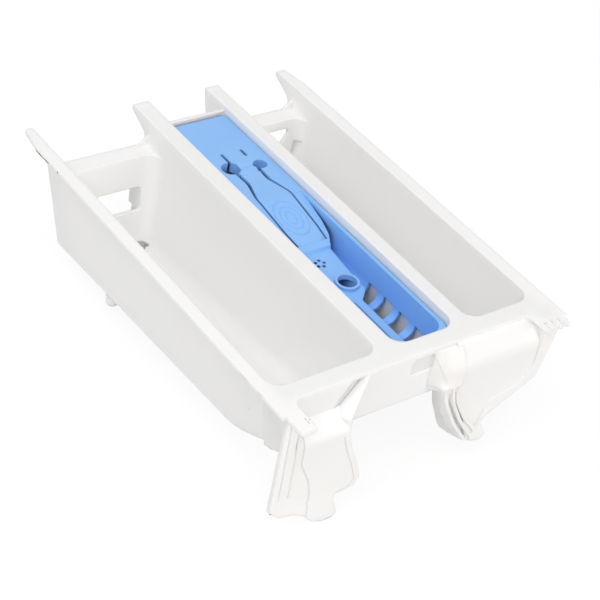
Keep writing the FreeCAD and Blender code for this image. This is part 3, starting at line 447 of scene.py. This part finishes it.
# Slanting sides of the fillet: x and z of the upper end, and the run to the left over a drop
FILLET_LEFT_SIDE = (51.0, FILLET_TOP, 9.5, 14.6)
FILLET_RIB_SIDE = (57.8, -1.2, 14.5, 19.8)


def slanting_x(side, z):
    """Where a slanting side of the fillet is at a height."""
    x, z_start, run, drop = side
    return x - run * (z_start - z) / drop


def valley_fillet():
    """Hollow fillet between the apron and the left side of the diagonal rib."""
    grids = []
    for depth in (0.0, FILLET_THICK):
        grid = []
        for k in range(FILLET_ROWS):
            z = FILLET_TOP - FILLET_HIGH * k / (FILLET_ROWS - 1)
            left = slanting_x(FILLET_LEFT_SIDE, z)
            rib = slanting_x(FILLET_RIB_SIDE, z)
            row = []
            for j in range(FILLET_COLUMNS):
                share = j / (FILLET_COLUMNS - 1)
                dip = FILLET_DIP * math.sin(math.pi * share) ** FILLET_FLATNESS
                y = dip + FILLET_RISE * share - FILLET_PROUD + depth
                row.append(place(left + (rib - left) * share, y, z))
            grid.append(row)
        grids.append(grid)
    piece = slab("apron_fillet", grids[0], grids[1], WHITE_SKIN)
    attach(piece, "drawer")


valley_fillet()


HOOD_LEFT = 104.6
HOOD_WIDE = 18.4
HOOD_TOP = -2.7
HOOD_HIGH = 24.0
HOOD_COLUMNS = 34
HOOD_ROWS = 44
HOOD_THICK = 0.3
# Place in front of the wings from which the drawer is felt for
BEFORE_WINGS = -40
# The hump reaches the wing's panel before the hood's right edge.
HUMP_STEEPNESS = 1.9
HOOD_PROUD = 0.12
FADE_STEPS = 6
SMOOTHING_ROUNDS = 24
HOOD_CLEAR = 0.03
HOOD_EDGE_SINK = 0.05


def hood_spot(k, j):
    """x and z of a point of the hood's grid in the drawing."""
    x = HOOD_LEFT + HOOD_WIDE * j / (HOOD_COLUMNS - 1)
    z = HOOD_TOP - HOOD_HIGH * k / (HOOD_ROWS - 1)
    return x, z


def bulge_hood():
    """Soft skin that carries the swelling of the apron over to the edge of the right wing's panel."""
    tree = surface_tree("drawer_body")
    solid = []
    for k in range(HOOD_ROWS):
        line = []
        for j in range(HOOD_COLUMNS):
            x, z = hood_spot(k, j)
            hit = tree.ray_cast(place(x, BEFORE_WINGS, z), REARWARDS)[0]
            line.append(MM_PER_M * hit.y)
        solid.append(line)
    last_row = HOOD_ROWS - 1
    last_column = HOOD_COLUMNS - 1
    taut = []
    for k in range(HOOD_ROWS):
        line = []
        for j in range(HOOD_COLUMNS):
            share = min(1, HUMP_STEEPNESS * j / last_column)
            steps = min(k, last_row - k, j, last_column - j)
            fade = min(1, steps / FADE_STEPS)
            rise = solid[k][-1] - solid[k][0]
            hump = solid[k][0] + rise * share * share * (3 - 2 * share)
            line.append(min(hump, solid[k][j]) - HOOD_PROUD * fade)
        taut.append(line)
    for _ in range(SMOOTHING_ROUNDS):
        for k in range(1, last_row):
            for j in range(1, last_column):
                mean = (taut[k - 1][j] + taut[k + 1][j] + taut[k][j - 1] + taut[k][j + 1]) / 4
                taut[k][j] = min(mean, solid[k][j] - HOOD_CLEAR)
    grids = []
    for back in (0.0, HOOD_THICK):
        grid = []
        for k in range(HOOD_ROWS):
            row = []
            for j in range(HOOD_COLUMNS):
                inner = 0 < k < last_row and 0 < j < last_column
                x, z = hood_spot(k, j)
                spot = place(x, 0, z)
                depth = taut[k][j] if inner else solid[k][j] + HOOD_EDGE_SINK
                row.append(Vector((spot.x, (depth + back) / MM_PER_M, spot.z)))
            grid.append(row)
        grids.append(grid)
    piece = slab("bulge_hood", grids[0], grids[1], WHITE_SKIN)
    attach(piece, "drawer")


bulge_hood()


FLOOR_HALF = 3.0
# The floor lights the object as matt grey, and is seen as near white with the object's shadow on it.
FLOOR_MATT = (0.82, 0.82, 0.82, 1)
FLOOR_GLOW = 0.88
FLOOR_SHADOWED = (0.14, 0.14, 0.14, 1)
PURE_WHITE = (1, 1, 1, 1)
WORLD_LIGHT = 0.54
WORLD_SEEN = 1.0


def background_rays(tree):
    """1 for the rays that show the background: from the camera, off gloss or through glass."""
    path = tree.nodes.new("ShaderNodeLightPath")
    seen = path.outputs["Is Camera Ray"]
    for name in ("Is Glossy Ray", "Is Transmission Ray"):
        either = tree.nodes.new("ShaderNodeMath")
        either.operation = "MAXIMUM"
        tree.links.new(seen, either.inputs[0])
        tree.links.new(path.outputs[name], either.inputs[1])
        seen = either.outputs[0]
    return seen


def make_floor():
    """Wide pale floor that shows the object's soft shadow on white."""
    half = FLOOR_HALF
    corners = [(-half, -half, 0), (half, -half, 0), (half, half, 0), (-half, half, 0)]
    data = bpy.data.meshes.new("floor")
    data.from_pydata(corners, [], [(0, 1, 2, 3)])
    floor = bpy.data.objects.new("floor", data)
    bpy.context.collection.objects.link(floor)
    graph = Graph("pale_floor")
    matt = graph.add("ShaderNodeBsdfDiffuse")
    matt.inputs["Color"].default_value = FLOOR_MATT
    glow = graph.add("ShaderNodeEmission")
    glow.inputs["Color"].default_value = PURE_WHITE
    glow.inputs["Strength"].default_value = FLOOR_GLOW
    pale = graph.add("ShaderNodeBsdfDiffuse")
    pale.inputs["Color"].default_value = FLOOR_SHADOWED
    bright = graph.add("ShaderNodeAddShader")
    graph.link(glow.outputs[0], bright.inputs[0])
    graph.link(pale.outputs[0], bright.inputs[1])
    choice = graph.add("ShaderNodeMixShader")
    graph.link(background_rays(graph.tree), choice.inputs[0])
    graph.link(matt.outputs[0], choice.inputs[1])
    graph.link(bright.outputs[0], choice.inputs[2])
    graph.link(choice.outputs[0], graph.output.inputs["Surface"])
    data.materials.append(graph.material)


def make_world():
    """Even studio light from all round, white where it is seen."""
    world = bpy.data.worlds.new("studio")
    bpy.context.scene.world = world
    world.use_nodes = True
    tree = world.node_tree
    tree.nodes.clear()
    output = tree.nodes.new("ShaderNodeOutputWorld")
    choice = tree.nodes.new("ShaderNodeMixShader")
    tree.links.new(background_rays(tree), choice.inputs[0])
    for socket, strength in ((choice.inputs[1], WORLD_LIGHT), (choice.inputs[2], WORLD_SEEN)):
        light = tree.nodes.new("ShaderNodeBackground")
        light.inputs["Color"].default_value = PURE_WHITE
        light.inputs["Strength"].default_value = strength
        tree.links.new(light.outputs[0], socket)
    tree.links.new(choice.outputs[0], output.inputs["Surface"])


LAMP_TARGET = Vector((0.0, 0.0, 0.04))


def add_lamp(name, spot, size, power, colour):
    """Soft square lamp aimed at the object."""
    data = bpy.data.lights.new(name, "AREA")
    data.shape = "SQUARE"
    data.size = size
    data.energy = power
    data.color = colour
    lamp = bpy.data.objects.new(name, data)
    bpy.context.collection.objects.link(lamp)
    lamp.location = spot
    lamp.rotation_euler = (LAMP_TARGET - Vector(spot)).to_track_quat("-Z", "Y").to_euler()


# The photograph's viewpoint: place in the drawing, direction of view and the picture's right side
CAMERA_SPOT = (-408.21, -451.40, 543.15)
CAMERA_LOOK = (0.53135, 0.58239, -0.61522)
CAMERA_SIDE = (0.80626, -0.57056, 0.15623)
SENSOR_WIDTH = 36.0
LENS = 100.46
CLIP_END = 20.0


def make_camera():
    """Camera at the photograph's viewpoint, turned and framed as it is."""
    look = Vector(CAMERA_LOOK).normalized()
    side = Vector(CAMERA_SIDE)
    side = (side - look * side.dot(look)).normalized()
    up = side.cross(look)
    data = bpy.data.cameras.new("camera")
    data.sensor_width = SENSOR_WIDTH
    data.lens = LENS
    data.clip_end = CLIP_END
    camera = bpy.data.objects.new("camera", data)
    bpy.context.collection.objects.link(camera)
    turned = Matrix((side, up, -look)).transposed().to_4x4()
    camera.matrix_world = Matrix.Translation(place(*CAMERA_SPOT)) @ turned
    bpy.context.scene.camera = camera


make_floor()
make_world()
add_lamp("fill_lamp", spot=(-0.95, -0.42, 1.66), size=1.5, power=18.5, colour=(1.0, 0.992, 0.98))
add_lamp("front_lamp", spot=(0.8, -1.6, 0.45), size=1.2, power=11.0, colour=(1.0, 0.93, 0.875))
make_camera()
bpy.context.scene.view_settings.view_transform = "Standard"
